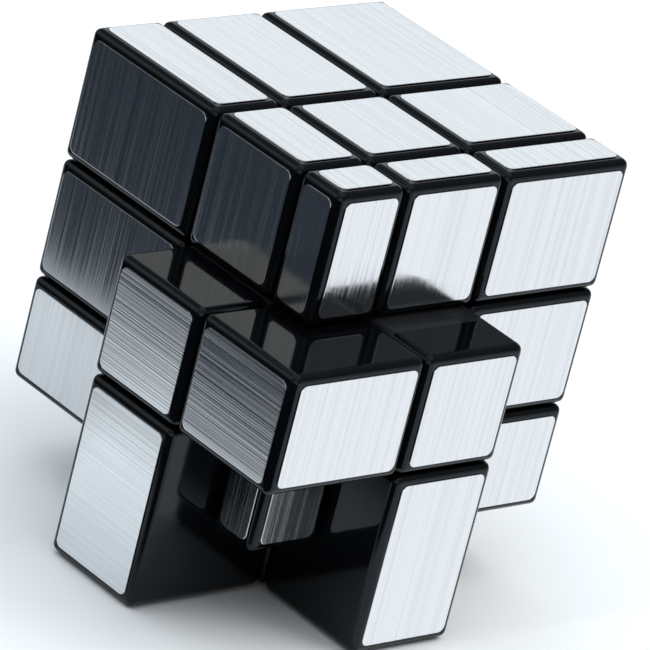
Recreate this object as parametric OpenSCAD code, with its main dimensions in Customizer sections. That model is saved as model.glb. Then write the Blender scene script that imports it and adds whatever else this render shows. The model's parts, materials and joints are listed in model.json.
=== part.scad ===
// Mirror block puzzle: twenty-six hollow blocks of unequal thickness, held on one six-armed core.
// +Z is up, +X is right, -Y is front. The origin is the foot of the core's upright axis.

/* [Layers] */
// Thickness of each middle slice
slice_t = 19; // [18.6:0.1:19.4]
// Thickness of the right layer
right_t = 9; // [8.6:0.1:12]
// Thickness of the front layer
front_t = 13; // [11:0.5:17]
// Thickness of the bottom layer
bottom_t = 17; // [14:0.5:20]
// Thickness of the top layer, and how far the proud right blocks reach
top_t = 21; // [18:0.5:24]
// Thickness of the back layer, and how far the proud front blocks reach
back_t = 25; // [20:0.5:28]
// Thickness of the left layer, and how far the proud bottom blocks reach
left_t = 29; // [24:0.5:32]

/* [Blocks] */
// Wall thickness of a block's shell
wall = 1.5; // [1.2:0.1:1.8]
// Rounding of a block's rims
rim_r = 1.2; // [0.5:0.1:1.3]
// Gap between neighbouring blocks
gap = 0.3; // [0.2:0.05:0.4]

/* [Stickers] */
// Thickness of the silver film
film_t = 0.2; // [0.1:0.05:0.3]
// Black rim left around a sticker
film_margin = 1.35; // [1.1:0.05:1.8]
// Corner radius of a sticker
film_r = 1.1; // [0.5:0.1:2]

/* [Mechanism] */
// Radius of the sphere that parts the blocks from the feet
bowl_r = 19; // [18.6:0.1:19.2]
// Distance from the core's centre to the planes that part the feet
foot_cut = 5.5; // [5:0.1:6]
// Inner radius of the feet
foot_inner_r = 12.5; // [12:0.1:14]
// Size of the root that plugs a foot into its shell
root_t = 5.5; // [4.5:0.1:6]
// Radius of the core's ball
core_r = 8; // [7:0.1:9]
// Radius of each arm of the core
arm_r = 3.6; // [3.2:0.1:4]
// Radius of the screws' shanks
shank_r = 1.25; // [1:0.05:1.4]
// Radius of the wells for the spring and screw head
well_r = 3.4; // [3.2:0.1:3.8]
// Wire radius of the springs
wire_r = 0.25; // [0.2:0.05:0.3]

/* [Hidden] */
half = slice_t / 2;
clear = gap / 2;
core_z = half + left_t;             // height of the core's centre above the resting plane
bowl_floor = bowl_r + clear;        // where the blocks end
foot_outer = bowl_r - clear;        // where the feet end
arm_reach = foot_inner_r - gap;     // where the core's arms end
well_floor = foot_inner_r + 3.5;    // where the spring stands
spring_top = well_floor + 3.7;
washer_t = 0.5;
screw_start = core_r / 2;
head_start = spring_top + washer_t;
head_t = 1.6;
head_r = 2.9;
slot_size = [3.6, 0.7, 0.6];        // one bar of the cross in a screw's head
base_top = head_start + head_t + 0.2;   // where a centre's base meets its cap
snug = 0.02;                        // room around a screw's shank in its thread
coil_r = head_r - 0.5;              // radius of a spring's coil, to the middle of its wire
spring_turns = 4;
rings_per_turn = 12;                // rings of points that make up the helix
wire_sides = 6;
ring_count = spring_turns * rings_per_turn;
spring_rise = spring_top - well_floor - 2 * wire_r;
past = 60;                          // longer than any block, for cutting

SIDES = [-1, 0, 1];
CORNERS = [for (z = [1, -1], y = [-1, 1], x = [-1, 1]) [x, y, z]];
EDGES = [for (z = SIDES, y = SIDES, x = SIDES) if (abs(x) + abs(y) + abs(z) == 2) [x, y, z]];
CENTRES = [for (z = SIDES, y = SIDES, x = SIDES) if (abs(x) + abs(y) + abs(z) == 1) [x, y, z]];
CUBIES = concat(CORNERS, EDGES, CENTRES);

// A node's name says where its block sits, such as edge_top_front
function place(p) = str(
    p.z > 0 ? "_top" : p.z < 0 ? "_bottom" : "",
    p.y > 0 ? "_back" : p.y < 0 ? "_front" : "",
    p.x > 0 ? "_right" : p.x < 0 ? "_left" : "");

// Each layer's name and level, and each face's name, axis and sign
LAYERS = [["top", 1], ["middle", 0], ["bottom", -1]];
FACES = [
    ["front", 1, -1], ["back", 1, 1], ["left", 0, -1], ["right", 0, 1], ["top", 2, 1], ["bottom", 2, -1]];

// The six blocks around the front right bottom corner stand proud, the corner itself doesn't
function proud(p) = p.x >= 0 && p.y <= 0 && p.z <= 0 && p != [1, -1, -1];

// Sets of stickers: name, face and blocks, for each layer's plain and proud blocks
STICKER_SETS = [for (l = LAYERS, f = FACES, is_proud = [false, true])
    let (blocks = [for (p = CUBIES) if (p.z == l[1] && p[f[1]] == f[2] && proud(p) == is_proud) p])
    if (len(blocks) > 0) [str(is_proud ? "proud_stickers_" : "stickers_", l[0], "_layer_", f[0]), f, blocks]];

// Distance from the core's centre to block p's outer face along axis a
function reach(p, a) = half + (
    a == 0 ? (p.x < 0 ? left_t : proud(p) ? top_t : right_t) :
    a == 1 ? (p.y > 0 || proud(p) ? back_t : front_t) :
    (p.z > 0 ? top_t : proud(p) ? left_t : bottom_t));

// Low and high side of block p's shell along axis a
function low(p, a) = p[a] > 0 ? half + clear : p[a] < 0 ? film_t - reach(p, a) : clear - half;
function high(p, a) = p[a] > 0 ? reach(p, a) - film_t : p[a] < 0 ? -half - clear : half - clear;
function low_point(p) = [for (a = [0, 1, 2]) low(p, a)];
function high_point(p) = [for (a = [0, 1, 2]) high(p, a)];

// A foot's root starts at the block's inner corner; along a free axis it is as wide as the foot
function root_low(p) = [for (v = p)
    v > 0 ? half + clear : v < 0 ? -half - clear - root_t : clear - foot_cut];
function root_high(p) = [for (v = p)
    v > 0 ? half + clear + root_t : v < 0 ? -half - clear : foot_cut - clear];

module box_between(a, b) translate(a) cube(b - a);

module round_rect(size, r) {
    translate([r, 0]) square([size.x - 2 * r, size.y]);
    translate([0, r]) square([size.x, size.y - 2 * r]);
    for (x = [r, size.x - r], y = [r, size.y - r]) translate([x, y]) circle(r, $fn = 32);
}

// A box with rounded rims: three rounded prisms, one along each axis
module rounded_box(a, b, r) {
    s = b - a;
    translate(a) intersection() {
        linear_extrude(s.z) round_rect([s.x, s.y], r);
        translate([0, s.y, 0]) rotate([90, 0, 0]) linear_extrude(s.y) round_rect([s.x, s.z], r);
        rotate([90, 0, 90]) linear_extrude(s.x) round_rect([s.y, s.z], r);
    }
}

module ball(r) sphere(r, $fn = 96);

module at_core() translate([0, 0, core_z]) children();

// Turns children that point up to point along p
module towards(p)
    rotate(p.z > 0 ? [0, 0, 0] : p.z < 0 ? [180, 0, 0] : p.y != 0 ? [-90 * p.y, 0, 0] : [0, 90 * p.x, 0])
    children();

// Hollow shell of a corner or edge block, with a bowl-shaped floor and a socket for the foot's root
module block_shell(p) color("#16181b") at_core() {
    a = low_point(p);
    b = high_point(p);
    inset = [wall, wall, wall];
    difference() {
        rounded_box(a, b, rim_r);
        ball(bowl_floor);
        difference() {
            box_between(a + inset, b - inset);
            ball(bowl_floor + wall);
        }
        box_between(root_low(p), root_high(p));
    }
}

// Foot of a corner or edge block: a piece of a thick ball, and the root that plugs into the shell
module foot(p) {
    limit = foot_cut + clear;
    a = [for (v = p) v > 0 ? limit : v < 0 ? -past : clear - foot_cut];
    b = [for (v = p) v > 0 ? past : v < 0 ? -limit : foot_cut - clear];
    difference() {
        intersection() {
            ball(foot_outer);
            box_between(a, b);
        }
        ball(foot_inner_r);
    }
    box_between(root_low(p), root_high(p));
}

module feet(cubies, level) color("#24272b") at_core() for (p = cubies) if (p.z == level) foot(p);

// Base of a centre block: a square plate over the bowl, a hub and a well for the spring
module centre_base(p) color("#24272b") at_core() towards(p) {
    hub_start = foot_inner_r + clear;
    width = slice_t - gap;
    difference() {
        union() {
            difference() {
                translate([clear - half, clear - half, hub_start])
                    linear_extrude(base_top - hub_start) round_rect([width, width], rim_r);
                ball(bowl_floor);
            }
            translate([0, 0, hub_start]) cylinder(r = foot_cut - clear, h = base_top - hub_start, $fn = 64);
        }
        translate([0, 0, well_floor]) cylinder(r = well_r, h = past, $fn = 64);
        cylinder(r = shank_r + clear, h = past, $fn = 48);
    }
}

// Cap of a centre block: a hollow shell, open towards the base
module centre_cap(p) color("#16181b") at_core() {
    a = low_point(p);
    b = high_point(p);
    inset = [wall, wall, wall];
    difference() {
        rounded_box(a, b, rim_r);
        towards(p) box_between([-past, -past, -past], [past, past, base_top]);
        box_between(a + inset, b - inset);
    }
}

// Stickers on one face of some blocks
module stickers(face, blocks) color("#cfd6dc") at_core() for (p = blocks) {
    axis = face[1];
    u = axis == 0 ? 1 : 0;
    v = axis == 2 ? 1 : 2;
    margin = [film_margin, film_margin];
    a = [low(p, u), low(p, v)] + margin;
    b = [high(p, u), high(p, v)] - margin;
    start = face[2] > 0 ? high(p, axis) : low(p, axis) - film_t;
    // The outline is drawn flat and then stood up against the face
    multmatrix(axis == 0 ? [[0, 0, 1, start], [1, 0, 0, 0], [0, 1, 0, 0]] :
               axis == 1 ? [[1, 0, 0, 0], [0, 0, 1, start], [0, 1, 0, 0]] :
                           [[1, 0, 0, 0], [0, 1, 0, 0], [0, 0, 1, start]])
        translate(a) linear_extrude(film_t) round_rect(b - a, film_r);
}

module core() color("#2b2e33") at_core() difference() {
    union() {
        ball(core_r);
        for (p = CENTRES) towards(p) cylinder(r = arm_r, h = arm_reach, $fn = 48);
    }
    for (p = CENTRES) towards(p) translate([0, 0, screw_start])
        cylinder(r = shank_r + snug, h = past, $fn = 48);
}

module screws() color("#b9bcc0") at_core() for (p = CENTRES) towards(p) {
    translate([0, 0, screw_start]) cylinder(r = shank_r, h = head_start - screw_start, $fn = 48);
    difference() {
        translate([0, 0, head_start]) cylinder(r = head_r, h = head_t, $fn = 48);
        for (turn = [0, 90]) rotate(turn)
            translate([-slot_size.x / 2, -slot_size.y / 2, head_start + head_t - slot_size.z])
            cube(slot_size + [0, 0, 1]);
    }
}

module washer() difference() {
    cylinder(r = head_r, h = washer_t, $fn = 48);
    translate([0, 0, -1]) cylinder(r = shank_r + clear, h = past, $fn = 48);
}

module washers() color("#d8dadd") at_core()
    for (p = CENTRES) towards(p) translate([0, 0, spring_top]) washer();

// Corner j of a spring's wire in ring i
function wire_point(i, j) = let (
    turn = 360 * i / rings_per_turn,
    spot = 360 * j / wire_sides,
    out = coil_r + wire_r * cos(spot),
    up = well_floor + wire_r + spring_rise * i / ring_count + wire_r * sin(spot))
    [out * cos(turn), out * sin(turn), up];
function wire_index(i, j) = i * wire_sides + j % wire_sides;

module spring() polyhedron(
    points = [for (i = [0:ring_count], j = [0:wire_sides - 1]) wire_point(i, j)],
    faces = concat(
        [[for (j = [0:wire_sides - 1]) wire_index(0, j)]],
        [[for (j = [wire_sides - 1:-1:0]) wire_index(ring_count, j)]],
        [for (i = [0:ring_count - 1], j = [0:wire_sides - 1])
            [wire_index(i, j), wire_index(i + 1, j), wire_index(i + 1, j + 1), wire_index(i, j + 1)]]));

module springs() color("#b9bcc0") at_core() for (p = CENTRES) towards(p) spring();

for (p = CORNERS) block_shell(p);
for (p = EDGES) block_shell(p);
for (p = CENTRES) centre_cap(p);
for (p = CENTRES) centre_base(p);
for (l = LAYERS) if (l[1] != 0) feet(CORNERS, l[1]);
for (l = LAYERS) feet(EDGES, l[1]);
for (set = STICKER_SETS) stickers(set[1], set[2]);
core();
screws();
springs();
washers();
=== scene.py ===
"""Looks of the mirror block puzzle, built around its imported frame."""
import json
import math
import random

import bmesh
import bpy
from mathutils import Matrix, Vector


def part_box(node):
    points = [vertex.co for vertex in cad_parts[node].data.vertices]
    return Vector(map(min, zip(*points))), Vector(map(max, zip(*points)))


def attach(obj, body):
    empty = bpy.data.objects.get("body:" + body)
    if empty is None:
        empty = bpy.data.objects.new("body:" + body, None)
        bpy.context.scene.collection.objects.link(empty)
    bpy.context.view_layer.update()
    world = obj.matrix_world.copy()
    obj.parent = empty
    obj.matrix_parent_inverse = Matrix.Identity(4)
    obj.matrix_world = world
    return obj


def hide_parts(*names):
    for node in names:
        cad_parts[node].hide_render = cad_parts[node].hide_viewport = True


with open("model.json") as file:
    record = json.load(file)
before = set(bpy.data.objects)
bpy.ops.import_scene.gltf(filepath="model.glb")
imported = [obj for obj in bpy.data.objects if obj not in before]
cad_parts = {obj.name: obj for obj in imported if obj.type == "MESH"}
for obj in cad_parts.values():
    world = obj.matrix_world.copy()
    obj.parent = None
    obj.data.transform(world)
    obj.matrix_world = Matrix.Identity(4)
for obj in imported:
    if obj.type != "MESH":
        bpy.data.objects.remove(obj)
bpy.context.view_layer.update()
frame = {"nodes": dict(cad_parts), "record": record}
MM = 0.001

# Sizes of the blocks and stickers, as in the part's source
RIM_R = 1.2 * MM
WALL = 1.5 * MM
BOWL_R = 19.15 * MM
ROOT_START = 9.65 * MM
ROOT_T = 5.5 * MM
ROOT_HALF_WIDTH = 5.35 * MM
FILM_T = 0.2 * MM
FILM_MARGIN = 1.35 * MM
FILM_R = 1.1 * MM

# Fineness of the rounded shapes
RIM_STEPS = 5
CORNER_STEPS = 7
BALL_SEGMENTS = 64
BALL_RINGS = 32

core_low, core_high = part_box("core")
CORE = (core_low + core_high) / 2

# Axis and sign of each side
SIGNS = {
    "left": (0, -1), "right": (0, 1),
    "front": (1, -1), "back": (1, 1),
    "bottom": (2, -1), "top": (2, 1),
}


def node_body(node):
    """Name of the body that a CAD node belongs to."""
    bodies = frame["record"]["behaviour"]["bodies"]
    return next(body for body, nodes in bodies.items() if node in nodes)


def place_of(node):
    """Signs of a block's place along X, Y and Z, read from its node's name."""
    place = [0, 0, 0]
    for word in node.split("_"):
        if word in SIGNS:
            axis, sign = SIGNS[word]
            place[axis] = sign
    return place


# ---------------------------------------------------------------- materials

def new_material(name):
    """A material, its node tree and its shader."""
    material = bpy.data.materials.new(name)
    material.use_nodes = True
    tree = material.node_tree
    return material, tree, tree.nodes["Principled BSDF"]


def link(tree, a, out, b, into):
    """Links an output of node a to an input of node b."""
    tree.links.new(a.outputs[out], b.inputs[into])


def object_noise(tree, scale, detail, roughness=0.55):
    """Noise in the object's own coordinates, in metres."""
    coords = tree.nodes.new("ShaderNodeTexCoord")
    noise = tree.nodes.new("ShaderNodeTexNoise")
    noise.inputs["Scale"].default_value = scale
    noise.inputs["Detail"].default_value = detail
    noise.inputs["Roughness"].default_value = roughness
    link(tree, coords, "Object", noise, "Vector")
    return noise


def remap(tree, source, out, low, high, start=0.3, end=0.7):
    """Maps the source's start to end onto low to high."""
    node = tree.nodes.new("ShaderNodeMapRange")
    node.inputs["From Min"].default_value = start
    node.inputs["From Max"].default_value = end
    node.inputs["To Min"].default_value = low
    node.inputs["To Max"].default_value = high
    link(tree, source, out, node, "Value")
    return node


def weighted(tree, a, a_out, weight, b, b_out):
    """a times weight, plus b."""
    node = tree.nodes.new("ShaderNodeMath")
    node.operation = "MULTIPLY_ADD"
    link(tree, a, a_out, node, 0)
    node.inputs[1].default_value = weight
    link(tree, b, b_out, node, 2)
    return node


def two_tone(tree, noise, low_colour, high_colour, start=0.0, end=1.0):
    """Colour that goes from low to high as the noise goes from start to end."""
    node = tree.nodes.new("ShaderNodeValToRGB")
    low, high = node.color_ramp.elements
    low.position = start
    high.position = end
    low.color = (*low_colour, 1)
    high.color = (*high_colour, 1)
    link(tree, noise, "Fac", node, "Fac")
    return node


def add_relief(tree, shader, height, out, depth_mm):
    """Roughens the shader's surface, by this depth where the height is 1."""
    bump = tree.nodes.new("ShaderNodeBump")
    bump.inputs["Strength"].default_value = 1.0
    bump.inputs["Distance"].default_value = depth_mm * MM
    link(tree, height, out, bump, "Height")
    link(tree, bump, "Normal", shader, "Normal")


# Black plastic: its reflections are bluish, and its colour varies between these shares of the one given
PLASTIC_IOR = 1.38
PLASTIC_TINT = (0.78, 0.9, 1, 1)
DARKEST_SHARE = 0.75
LIGHTEST_SHARE = 1.35
SMUDGES_PER_M = 90
MOTTLES_PER_M = 260

# Scratches: how they are turned, how often they come along and across, how much duller they are, and the
# noise values between which they fade in
SCRATCH_TURN = (math.radians(35), math.radians(20), math.radians(28))
SCRATCHES_PER_M = (110, 3600, 3600)
SCRATCH_ROUGHNESS = 0.16
SCRATCH_START = 0.68
SCRATCH_END = 0.76


def scratches(tree):
    """Sparse fine lines, slanted to the object's axes: 1 in a scratch, 0 elsewhere."""
    coords = tree.nodes.new("ShaderNodeTexCoord")
    stretch = tree.nodes.new("ShaderNodeMapping")
    stretch.inputs["Rotation"].default_value = SCRATCH_TURN
    stretch.inputs["Scale"].default_value = SCRATCHES_PER_M
    noise = tree.nodes.new("ShaderNodeTexNoise")
    noise.inputs["Scale"].default_value = 1.0
    noise.inputs["Detail"].default_value = 1.0
    link(tree, coords, "Object", stretch, "Vector")
    link(tree, stretch, "Vector", noise, "Vector")
    return remap(tree, noise, "Fac", 0, 1, SCRATCH_START, SCRATCH_END)


def moulded_plastic(name, colour, sheen, relief_mm, grains_per_m):
    """Black moulded plastic: slow sheen changes, a fine grain and a few scratches.
    sheen holds its lowest and highest roughness."""
    material, tree, shader = new_material(name)
    shader.inputs["IOR"].default_value = PLASTIC_IOR
    shader.inputs["Specular Tint"].default_value = PLASTIC_TINT
    smudges = remap(tree, object_noise(tree, SMUDGES_PER_M, detail=4), "Fac", *sheen)
    worn = weighted(tree, scratches(tree), "Result", SCRATCH_ROUGHNESS, smudges, "Result")
    link(tree, worn, "Value", shader, "Roughness")
    mottles = object_noise(tree, MOTTLES_PER_M, detail=5, roughness=0.6)
    darkest = [c * DARKEST_SHARE for c in colour]
    lightest = [c * LIGHTEST_SHARE for c in colour]
    tone = two_tone(tree, mottles, darkest, lightest, start=0.35, end=0.75)
    link(tree, tone, "Color", shader, "Base Color")
    grains = object_noise(tree, grains_per_m, detail=2, roughness=0.5)
    add_relief(tree, shader, grains, "Fac", relief_mm)
    return material


# Brushed film: its colour between its lines, and how often each kind of line comes across and along, per mm.
# Scores and slow waves are relief, in which slow waves weigh more. Scatters are roughness, bands colour.
FILM_COLOUR = (0.79, 0.815, 0.835)
SCORES = (3.2, 0.004)
SCATTERS = (2.6, 0.01)
BANDS = (1.3, 0.006)
SLOW_WAVES = (0.6, 0.003)
SLOW_WEIGHT = 1.5


def brushed_film(name, relief_mm, deep_line, spread, line_start):
    """Silver film with fine brushed lines. The UV map "brush" runs across and along them, in mm.
    deep_line is the colour that the bands reach, and a higher line_start makes them sparser.
    spread holds the lowest and highest roughness."""
    material, tree, shader = new_material(name)
    shader.inputs["Metallic"].default_value = 1.0
    shader.inputs["Anisotropic"].default_value = 1.0
    uv = tree.nodes.new("ShaderNodeUVMap")
    uv.uv_map = "brush"

    def lines(frequency, detail):
        """Noise stretched into lines, which come this often across and along."""
        stretch = tree.nodes.new("ShaderNodeMapping")
        stretch.inputs["Scale"].default_value = (*frequency, 1)
        noise = tree.nodes.new("ShaderNodeTexNoise")
        noise.noise_dimensions = "2D"
        noise.inputs["Scale"].default_value = 1.0
        noise.inputs["Detail"].default_value = detail
        noise.inputs["Roughness"].default_value = 0.6
        link(tree, uv, "UV", stretch, "Vector")
        link(tree, stretch, "Vector", noise, "Vector")
        return noise

    bands = lines(BANDS, detail=4)
    tone = two_tone(tree, bands, FILM_COLOUR, deep_line, start=line_start, end=0.72)
    link(tree, tone, "Color", shader, "Base Color")
    scatters = lines(SCATTERS, detail=3)
    roughness = remap(tree, scatters, "Fac", *spread, start=0.32, end=0.75)
    link(tree, roughness, "Result", shader, "Roughness")
    slow_waves = lines(SLOW_WAVES, detail=2)
    scores = lines(SCORES, detail=1)
    relief = weighted(tree, slow_waves, "Fac", SLOW_WEIGHT, scores, "Fac")
    add_relief(tree, shader, relief, "Value", relief_mm)
    tangent = tree.nodes.new("ShaderNodeTangent")
    tangent.direction_type = "UV_MAP"
    tangent.uv_map = "brush"
    link(tree, tangent, "Tangent", shader, "Tangent")
    return material


def film_edge(name):
    """Cut edge of the film: a darker grey than its face, duller and only partly metallic."""
    material, tree, shader = new_material(name)
    shader.inputs["Metallic"].default_value = 0.55
    grain = object_noise(tree, scale=2600, detail=2)
    link(tree, remap(tree, grain, "Fac", low=0.35, high=0.55), "Result", shader, "Roughness")
    link(tree, remap(tree, grain, "Fac", low=0.55, high=0.75), "Result", shader, "Base Color")
    return material


def plated_steel(name):
    """Zinc plated steel with small stains."""
    material, tree, shader = new_material(name)
    shader.inputs["Metallic"].default_value = 1.0
    stain = object_noise(tree, scale=700, detail=4)
    link(tree, remap(tree, stain, "Fac", low=0.22, high=0.42), "Result", shader, "Roughness")
    tone = two_tone(tree, stain, low_colour=(0.46, 0.46, 0.47), high_colour=(0.68, 0.68, 0.7))
    link(tree, tone, "Color", shader, "Base Color")
    return material


BLOCK_PLASTIC = moulded_plastic(
    "block_plastic", (0.0017, 0.002, 0.0027), sheen=(0.05, 0.1), relief_mm=0.002, grains_per_m=700)
MECHANISM_PLASTIC = moulded_plastic(
    "mechanism_plastic", (0.018, 0.019, 0.021), sheen=(0.25, 0.4), relief_mm=0.006, grains_per_m=1800)
CORE_PLASTIC = moulded_plastic(
    "core_plastic", (0.03, 0.032, 0.036), sheen=(0.35, 0.5), relief_mm=0.008, grains_per_m=2200)
SILVER_FILM = brushed_film(
    "silver_film", relief_mm=0.0015, deep_line=(0.7, 0.725, 0.745), spread=(0.08, 0.21), line_start=0.45)
COARSE_FILM = brushed_film(
    "coarse_silver_film", relief_mm=0.024, deep_line=(0.75, 0.775, 0.8), spread=(0.08, 0.24),
    line_start=0.35)
FILM_EDGE_MATERIAL = film_edge("film_edge")
STEEL = plated_steel("steel")


# ---------------------------------------------------------------- blocks

WALLS = Vector((WALL, WALL, WALL))
# A cap is first made this much too long, then cut off at its open side with a box wider by the margin
CAP_OVERRUN = 4 * RIM_R
CUT_MARGIN = 5 * MM
# How far a point may be off a true rim, or a face off the bowl, and still be shaded as part of it
RIM_TOLERANCE = 0.02 * RIM_R
BOWL_TOLERANCE = 0.05 * MM
# Least agreement between round shading and the face's own direction, as a cosine
LEAST_COSINE = 0.6


def box_mesh(low, high):
    """A bmesh box between two corners."""
    bm = bmesh.new()
    bmesh.ops.create_cube(bm, size=1)
    bmesh.ops.scale(bm, vec=high - low, verts=bm.verts)
    bmesh.ops.translate(bm, vec=(low + high) / 2, verts=bm.verts)
    return bm


def rounded_block(low, high):
    """A bmesh box between two corners, with round rims."""
    bm = box_mesh(low, high)
    bmesh.ops.bevel(
        bm, geom=bm.edges[:], affect="EDGES", offset=RIM_R, offset_type="OFFSET", segments=RIM_STEPS,
        profile=0.5, clamp_overlap=False)
    return bm


def new_piece(bm, name):
    """Turns a bmesh into an object of the scene."""
    mesh = bpy.data.meshes.new(name)
    bm.to_mesh(mesh)
    bm.free()
    piece = bpy.data.objects.new(name, mesh)
    bpy.context.scene.collection.objects.link(piece)
    return piece


def ball(radius):
    """A ball around the core's centre."""
    bm = bmesh.new()
    bmesh.ops.create_uvsphere(bm, u_segments=BALL_SEGMENTS, v_segments=BALL_RINGS, radius=radius)
    bmesh.ops.translate(bm, vec=CORE, verts=bm.verts)
    return new_piece(bm, "ball")


def cut(piece, tool):
    """Cuts the tool's shape out of the piece, and removes the tool."""
    modifier = piece.modifiers.new("cut", "BOOLEAN")
    modifier.operation = "DIFFERENCE"
    modifier.solver = "EXACT"
    modifier.object = tool
    bpy.context.view_layer.update()
    evaluated = piece.evaluated_get(bpy.context.evaluated_depsgraph_get())
    result = bpy.data.meshes.new_from_object(evaluated)
    piece.modifiers.clear()
    used_up = [piece.data, tool.data]
    piece.data = result
    bpy.data.objects.remove(tool)
    for mesh in used_up:
        bpy.data.meshes.remove(mesh)


def rim_normal(point, low, high):
    """Direction of a rounded box's surface at a point on it, or None at a point inside it."""
    inner = Vector([min(max(point[i], low[i] + RIM_R), high[i] - RIM_R) for i in range(3)])
    out = point - inner
    return out.normalized() if abs(out.length - RIM_R) < RIM_TOLERANCE else None


def shade(mesh, low, high, has_bowl):
    """Gives the rims the shading of true round rims, and the bowl that of a true ball."""
    normals = []
    for polygon in mesh.polygons:
        polygon.use_smooth = True
        off_bowl = abs((polygon.center - CORE).length - BOWL_R)
        on_bowl = has_bowl and off_bowl < BOWL_TOLERANCE
        for i in polygon.loop_indices:
            point = mesh.vertices[mesh.loops[i].vertex_index].co
            normal = (CORE - point).normalized() if on_bowl else rim_normal(point, low, high)
            if normal is None or normal.dot(polygon.normal) < LEAST_COSINE:
                normal = polygon.normal
            normals.append(normal)
    mesh.normals_split_custom_set(normals)


def finish_piece(piece, name, materials, body, nodes):
    """Names a piece, gives it its materials and puts it in the place of its CAD nodes."""
    piece.name = name
    piece.data.name = name
    piece.data.materials.clear()
    for material in materials:
        piece.data.materials.append(material)
    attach(piece, body)
    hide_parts(*nodes)


def finish_shell(piece, node):
    """Finishes the shell of a corner, edge or centre block."""
    finish_piece(piece, node + "_shell", [BLOCK_PLASTIC], node_body(node), [node])


def block_shell(node):
    """Corner or edge block: hollow, with a bowl-shaped floor and a socket for its foot's root."""
    low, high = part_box(node)
    piece = new_piece(rounded_block(low, high), node)
    cut(piece, ball(BOWL_R))
    hollow = new_piece(box_mesh(low + WALLS, high - WALLS), "hollow")
    cut(hollow, ball(BOWL_R + WALL))
    cut(piece, hollow)
    start, end = Vector(), Vector()
    for i, sign in enumerate(place_of(node)):
        near = ROOT_START if sign else -ROOT_HALF_WIDTH
        far = ROOT_START + ROOT_T if sign else ROOT_HALF_WIDTH
        outwards = sign or 1
        start[i], end[i] = sorted((CORE[i] + near * outwards, CORE[i] + far * outwards))
    cut(piece, new_piece(box_mesh(start, end), "socket"))
    shade(piece.data, low, high, has_bowl=True)
    finish_shell(piece, node)


def side_moved(low, high, axis, sign, place):
    """A box's corners with one side moved to a place: its low side for sign 1, its high side for -1."""
    low, high = low.copy(), high.copy()
    moved = low if sign > 0 else high
    moved[axis] = place
    return low, high


def centre_cap(node):
    """Centre block's cap: a hollow shell whose open side meets its base with a sharp edge."""
    low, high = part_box(node)
    axis, sign = next((i, s) for i, s in enumerate(place_of(node)) if s)
    open_side = low[axis] if sign > 0 else high[axis]
    full_low, full_high = side_moved(low, high, axis, sign, open_side - sign * CAP_OVERRUN)
    piece = new_piece(rounded_block(full_low, full_high), node)
    margin = Vector((1, 1, 1)) * CUT_MARGIN
    below = side_moved(full_low - margin, full_high + margin, axis, -sign, open_side)
    cut(piece, new_piece(box_mesh(*below), "below"))
    hollow = side_moved(low + WALLS, high - WALLS, axis, sign, open_side - sign * WALL)
    cut(piece, new_piece(box_mesh(*hollow), "hollow"))
    shade(piece.data, full_low, full_high, has_bowl=False)
    finish_shell(piece, node)


# ---------------------------------------------------------------- stickers

# Rounding of a sticker's cut edge. Its profile runs up to the face, as shares of the rounding: how far in
# from the outline and how far below the face.
FILM_EDGE = 0.1 * MM
FILM_EDGE_PROFILE = ((0, 0.5), (0.3, 0.12), (1, 0))
# Each sticker's lines start somewhere else in the noise, up to this many mm away
FARTHEST_SHIFT = 500

# Some stickers' shading leans by these degrees, forwards or back and to a side, chosen so that their tones
# match the photo. All others lean at random, by up to the small lean about each axis. None of the surfaces
# leans.
SMALL_LEAN = 0.5
LEANS = {
    ("centre_cap_front", "front"): (4.5, 0),
    ("edge_front_right", "front"): (1.1, 0),
    ("edge_front_left", "front"): (-1.8, 0),
    ("edge_bottom_front", "front"): (2, 0),
    ("corner_bottom_front_right", "front"): (0, -3),
    ("corner_bottom_front_right", "right"): (0, 4),
}

# Each side's own axes: sideways, up (which is +X for the top and the bottom) and outwards
FACE_FRAMES = {
    "front": (Vector((1, 0, 0)), Vector((0, 0, 1)), Vector((0, -1, 0))),
    "back": (Vector((-1, 0, 0)), Vector((0, 0, 1)), Vector((0, 1, 0))),
    "right": (Vector((0, 1, 0)), Vector((0, 0, 1)), Vector((1, 0, 0))),
    "left": (Vector((0, -1, 0)), Vector((0, 0, 1)), Vector((-1, 0, 0))),
    "top": (Vector((0, -1, 0)), Vector((1, 0, 0)), Vector((0, 0, 1))),
    "bottom": (Vector((0, 1, 0)), Vector((1, 0, 0)), Vector((0, 0, -1))),
}
LEVELS = {"top": 1, "middle": 0, "bottom": -1}
SHELLS = [n for n in frame["nodes"] if n.startswith(("corner_", "edge_", "centre_cap_")) and "feet" not in n]


def outline(width, height, radius):
    """Points around a rectangle with rounded corners, centred on zero."""
    points = []
    for quarter in range(4):
        cx = (width / 2 - radius) * (1 if quarter in (0, 3) else -1)
        cy = (height / 2 - radius) * (1 if quarter in (0, 1) else -1)
        for step in range(CORNER_STEPS + 1):
            angle = math.radians(90 * (quarter + step / CORNER_STEPS))
            points.append((cx + radius * math.cos(angle), cy + radius * math.sin(angle)))
    return points


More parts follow.
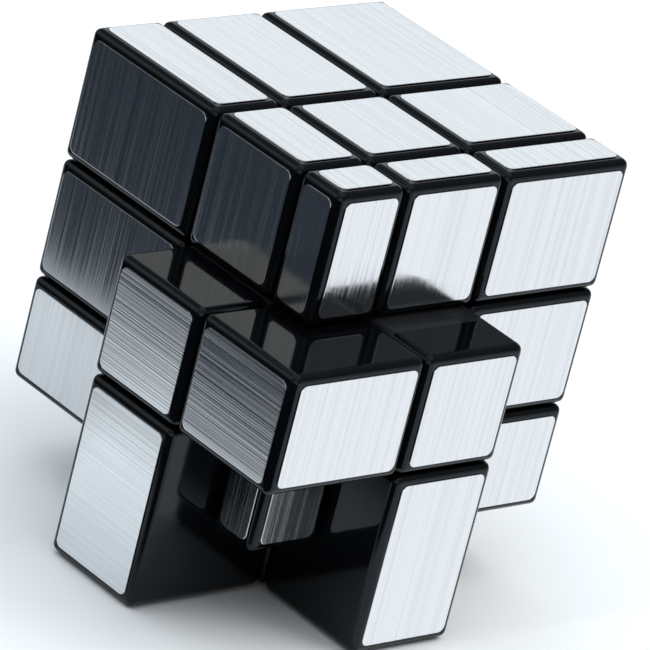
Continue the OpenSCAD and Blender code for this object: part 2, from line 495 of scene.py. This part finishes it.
def add_sticker(bm, uv_layer, centre, axes, size, brush_up, seed):
    """Adds one sticker: a flat face, which comes first, then its back and its rounded edge.
    axes are its side's own; brush_up says that its lines run up, not sideways."""
    side, up, out = axes
    w, h = size
    rows = [(0, 0)]
    rows += [(inset * FILM_EDGE, FILM_T - drop * FILM_EDGE) for inset, drop in FILM_EDGE_PROFILE]
    rings = []
    for inset, height in rows:
        points = outline(w - 2 * inset, h - 2 * inset, FILM_R - inset)
        rings.append([bm.verts.new(centre + side * x + up * y + out * height) for x, y in points])
    faces = [bm.faces.new(rings[-1]), bm.faces.new(list(reversed(rings[0])))]
    count = len(rings[0])
    for a, b in zip(rings, rings[1:]):
        for i in range(count):
            j = (i + 1) % count
            faces.append(bm.faces.new((a[i], a[j], b[j], b[i])))
    for face in faces[1:]:
        face.material_index = 1
    shift = Vector([random.Random(s).uniform(0, FARTHEST_SHIFT) for s in (seed, seed + 1)])
    for face in faces:
        for loop in face.loops:
            from_centre = loop.vert.co - centre
            x, y = from_centre.dot(side) / MM, from_centre.dot(up) / MM
            across, along = (x, y) if brush_up else (y, x)
            loop[uv_layer].uv = (across + shift.x, along + shift.y)


def is_proud(place):
    """True for the six blocks around the front right bottom corner, which stand out past their layers."""
    return place[0] >= 0 and place[1] <= 0 and place[2] <= 0 and place != [1, -1, -1]


def shaded_direction(shell, number, face):
    """Direction that the shading of a shell's sticker faces."""
    side, up, out = FACE_FRAMES[face]
    chance = random.Random(number)
    small = (chance.uniform(-SMALL_LEAN, SMALL_LEAN), chance.uniform(-SMALL_LEAN, SMALL_LEAN))
    pitch, yaw = LEANS.get((shell, face), small)
    return Matrix.Rotation(math.radians(pitch), 3, side) @ Matrix.Rotation(math.radians(yaw), 3, up) @ out


def sticker_set(node):
    """All stickers of one CAD sticker node, as one piece."""
    proud = node.startswith("proud_")
    _, layer, _, face = node.removeprefix("proud_").split("_")
    level = LEVELS[layer]
    axis, sign = SIGNS[face]
    side, up, _ = FACE_FRAMES[face]
    # The proud front blocks have their lines lying flat
    brush_up = not (proud and face == "front")
    bm = bmesh.new()
    uv_layer = bm.loops.layers.uv.new("brush")
    facing = []
    for number, shell in enumerate(SHELLS):
        place = place_of(shell)
        if place[2] != level or place[axis] != sign or is_proud(place) != proud:
            continue
        low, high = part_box(shell)
        centre = (low + high) / 2
        centre[axis] = high[axis] if sign > 0 else low[axis]
        w = abs((high - low).dot(side)) - 2 * FILM_MARGIN
        h = abs((high - low).dot(up)) - 2 * FILM_MARGIN
        add_sticker(bm, uv_layer, centre, FACE_FRAMES[face], (w, h), brush_up, 10 * number + axis)
        facing.append(shaded_direction(shell, number, face))
    bm.normal_update()
    piece = new_piece(bm, node)
    polygons = piece.data.polygons
    faces_each = len(polygons) // len(facing)
    normals = []
    for polygon in polygons:
        number, part = divmod(polygon.index, faces_each)
        normals += [facing[number] if part == 0 else polygon.normal.copy()] * polygon.loop_total
    piece.data.normals_split_custom_set(normals)
    film = COARSE_FILM if proud and face == "front" and level == 0 else SILVER_FILM
    name = node.replace("stickers", "films")
    finish_piece(piece, name, [film, FILM_EDGE_MATERIAL], node_body(node), [node])


for shell_node in SHELLS:
    if shell_node.startswith("centre_cap_"):
        centre_cap(shell_node)
    else:
        block_shell(shell_node)
for sticker_node in [n for n in frame["nodes"] if "stickers_" in n]:
    sticker_set(sticker_node)


# ---------------------------------------------------------------- mechanism

CAD_MATERIALS = {
    "mechanism_plastic": MECHANISM_PLASTIC,
    "core_plastic": CORE_PLASTIC,
    "steel": STEEL,
}
for row in frame["record"]["subparts"]:
    if row["material_slot"] in CAD_MATERIALS:
        cad_object = frame["nodes"][row["node"]]
        cad_object.data.materials.clear()
        cad_object.data.materials.append(CAD_MATERIALS[row["material_slot"]])


# ---------------------------------------------------------------- stage

FLOOR_HALF = 4.0
FLOOR_DROP = 0.0001
FLOOR_COLOUR = (0.9, 0.903, 0.907, 1)
FLOOR_ROUGHNESS = 0.85

# Painted reflections: a dim glowing sheet in front of the puzzle paints dark reflections, and a bright
# glowing sheet to its right paints reflections of an evenly bright floor, without the puzzle's shadow. Both
# lie just above the floor. Only reflections show them.
SHEET_HEIGHT = 0.0005
SHEET_REACH = 1.5
# Painted floor reflection: where it starts and how brightly it glows
BRIGHT_SHEET_START = (0.0315, -0.03)
FLOOR_REFLECTION_GLOW = (1.0, 1.03, 1.065, 1)
# Painted dark reflection: how dimly it glows, and where it ends at the back
DARK_REFLECTION_GLOW = (0.026, 0.033, 0.043, 1)
DARK_SHEET_BACK = -0.02
# The dark sheet fades in across the far Y and, past the beside X, already across the near Y. It fades out
# across the end X. Past the left X it covers at least the left cover.
DARK_SHEET_FAR = (-0.064, -0.084)
DARK_SHEET_NEAR = (-0.037, -0.05)
DARK_SHEET_BESIDE = (0.0, 0.02)
DARK_SHEET_END = (0.22, 0.32)
DARK_SHEET_LEFT = (-0.03, -0.042)
DARK_SHEET_LEFT_COVER = 0.28

WORLD_COLOUR = (0.94, 0.97, 1.0, 1)
WORLD_STRENGTH = 0.2


def plane(name, low, high, height, material):
    """A level sheet between two corners, as part of the stage."""
    bm = bmesh.new()
    corners = [(low[0], low[1]), (high[0], low[1]), (high[0], high[1]), (low[0], high[1])]
    bm.faces.new([bm.verts.new((x, y, height)) for x, y in corners])
    piece = new_piece(bm, name)
    piece.data.materials.append(material)
    return piece


def floor_material():
    """Matt pale grey."""
    material, _, shader = new_material("floor")
    shader.inputs["Base Color"].default_value = FLOOR_COLOUR
    shader.inputs["Roughness"].default_value = FLOOR_ROUGHNESS
    return material


def combine(tree, operation, a, a_out, b, b_out):
    """Two values put together by a math operation."""
    node = tree.nodes.new("ShaderNodeMath")
    node.operation = operation
    link(tree, a, a_out, node, 0)
    link(tree, b, b_out, node, 1)
    return node


def dark_reflection_material():
    """Painted dark reflection: a dim glowing sheet in front of the puzzle, whose edges fade in."""
    material, tree, shader = new_material("painted_dark_reflection")
    tree.nodes.remove(shader)
    coords = tree.nodes.new("ShaderNodeTexCoord")
    split = tree.nodes.new("ShaderNodeSeparateXYZ")
    link(tree, coords, "Object", split, "Vector")
    far = remap(tree, split, "Y", 0, 1, *DARK_SHEET_FAR)
    near = remap(tree, split, "Y", 0, 1, *DARK_SHEET_NEAR)
    beside = remap(tree, split, "X", 0, 1, *DARK_SHEET_BESIDE)
    left = remap(tree, split, "X", 0, DARK_SHEET_LEFT_COVER, *DARK_SHEET_LEFT)
    end = remap(tree, split, "X", 1, 0, *DARK_SHEET_END)
    corner = combine(tree, "MULTIPLY", near, "Result", beside, "Result")
    faded_in = combine(tree, "MAXIMUM", far, "Result", corner, "Value")
    front = combine(tree, "MULTIPLY", faded_in, "Value", end, "Result")
    cover = combine(tree, "MAXIMUM", front, "Value", left, "Result")
    clear = tree.nodes.new("ShaderNodeBsdfTransparent")
    dark_glow = tree.nodes.new("ShaderNodeEmission")
    dark_glow.inputs["Color"].default_value = DARK_REFLECTION_GLOW
    mix = tree.nodes.new("ShaderNodeMixShader")
    link(tree, cover, "Value", mix, "Fac")
    link(tree, clear, "BSDF", mix, 1)
    link(tree, dark_glow, "Emission", mix, 2)
    link(tree, mix, "Shader", tree.nodes["Material Output"], "Surface")
    return material


def floor_reflection_material():
    """Painted floor reflection: a bright glowing sheet beside the puzzle, which the right side reflects."""
    material, tree, shader = new_material("painted_floor_reflection")
    tree.nodes.remove(shader)
    glow = tree.nodes.new("ShaderNodeEmission")
    glow.inputs["Color"].default_value = FLOOR_REFLECTION_GLOW
    link(tree, glow, "Emission", tree.nodes["Material Output"], "Surface")
    return material


plane("floor", (-FLOOR_HALF, -FLOOR_HALF), (FLOOR_HALF, FLOOR_HALF), -FLOOR_DROP, floor_material())
# Painted dark reflection and painted floor reflection, which only glossy surfaces show
painted_dark_reflection = plane("painted_dark_reflection", (-SHEET_REACH, -SHEET_REACH), (SHEET_REACH, DARK_SHEET_BACK), SHEET_HEIGHT, dark_reflection_material())
painted_floor_reflection = plane("painted_floor_reflection", BRIGHT_SHEET_START, (SHEET_REACH, SHEET_REACH), SHEET_HEIGHT, floor_reflection_material())
for sheet in (painted_dark_reflection, painted_floor_reflection):
    sheet.visible_camera = False
    sheet.visible_diffuse = False
    sheet.visible_shadow = False


def panel(name, location, size, radiance, seen_in_gloss, lights_matt, colour=(1, 1, 1)):
    """Rectangular soft light that faces the puzzle.
    It may show in glossy surfaces without lighting matt ones, or the other way round."""
    data = bpy.data.lights.new(name, "AREA")
    data.shape = "RECTANGLE"
    data.size, data.size_y = size
    data.energy = radiance * math.pi * size[0] * size[1]
    data.color = colour
    lamp = bpy.data.objects.new(name, data)
    lamp.location = location
    lamp.rotation_euler = (CORE - Vector(location)).to_track_quat("-Z", "Y").to_euler()
    lamp.visible_camera = False
    lamp.visible_glossy = seen_in_gloss
    lamp.visible_diffuse = lights_matt
    bpy.context.scene.collection.objects.link(lamp)


panel("overhead", (0, 0, 1.4), (2.2, 2.2), 0.5, True, True, (0.9, 0.96, 1))
panel("back_left", (-0.95, 0.99, 0.52), (1.7, 0.85), 0.88, True, True, (0.92, 0.968, 1))
panel("front_left", (-0.92, -0.92, 0.76), (1.7, 0.7), 0.62, True, False, (1, 0.95, 0.89))
panel("front_right", (0.92, -0.92, 0.5), (1.7, 0.85), 0.7, True, False)
panel("back_right", (0.92, 0.92, 0.19), (1.7, 0.28), 0.5, True, False)
panel("key", (0.55, 0.65, 1.15), (0.9, 0.9), 3.4, False, True, (1, 0.98, 0.955))
panel("fill", (-0.3, -0.3, 1.3), (2.2, 2.2), 1.35, False, True, (0.84, 0.93, 1))

world = bpy.data.worlds.new("studio")
world.use_nodes = True
background = world.node_tree.nodes["Background"]
background.inputs["Color"].default_value = WORLD_COLOUR
background.inputs["Strength"].default_value = WORLD_STRENGTH
bpy.context.scene.world = world
bpy.context.scene.view_settings.view_transform = "Standard"


# ---------------------------------------------------------------- camera

# The photo's own view, fitted to the straight edges of its stickers
VIEW_AZIMUTH = math.radians(43.86)
VIEW_ELEVATION = math.radians(23.33)
VIEW_ROLL = math.radians(14.45)
VIEW_DISTANCE = 0.9107
VIEW_DROP = 0.0014
LENS_MM = 349.8
CLIP_START = 0.05

back = Vector((
    math.sin(VIEW_AZIMUTH) * math.cos(VIEW_ELEVATION),
    -math.cos(VIEW_AZIMUTH) * math.cos(VIEW_ELEVATION),
    math.sin(VIEW_ELEVATION)))
right = Vector((math.cos(VIEW_AZIMUTH), math.sin(VIEW_AZIMUTH), 0))
up = back.cross(right)
camera_right = right * math.cos(VIEW_ROLL) + up * math.sin(VIEW_ROLL)
camera_up = up * math.cos(VIEW_ROLL) - right * math.sin(VIEW_ROLL)
camera_data = bpy.data.cameras.new("camera")
camera_data.lens = LENS_MM
camera_data.clip_start = CLIP_START
camera = bpy.data.objects.new("camera", camera_data)
turn = Matrix((camera_right, camera_up, back)).transposed().to_4x4()
camera.matrix_world = Matrix.Translation(CORE + back * VIEW_DISTANCE - up * VIEW_DROP) @ turn
bpy.context.scene.collection.objects.link(camera)
bpy.context.scene.camera = camera
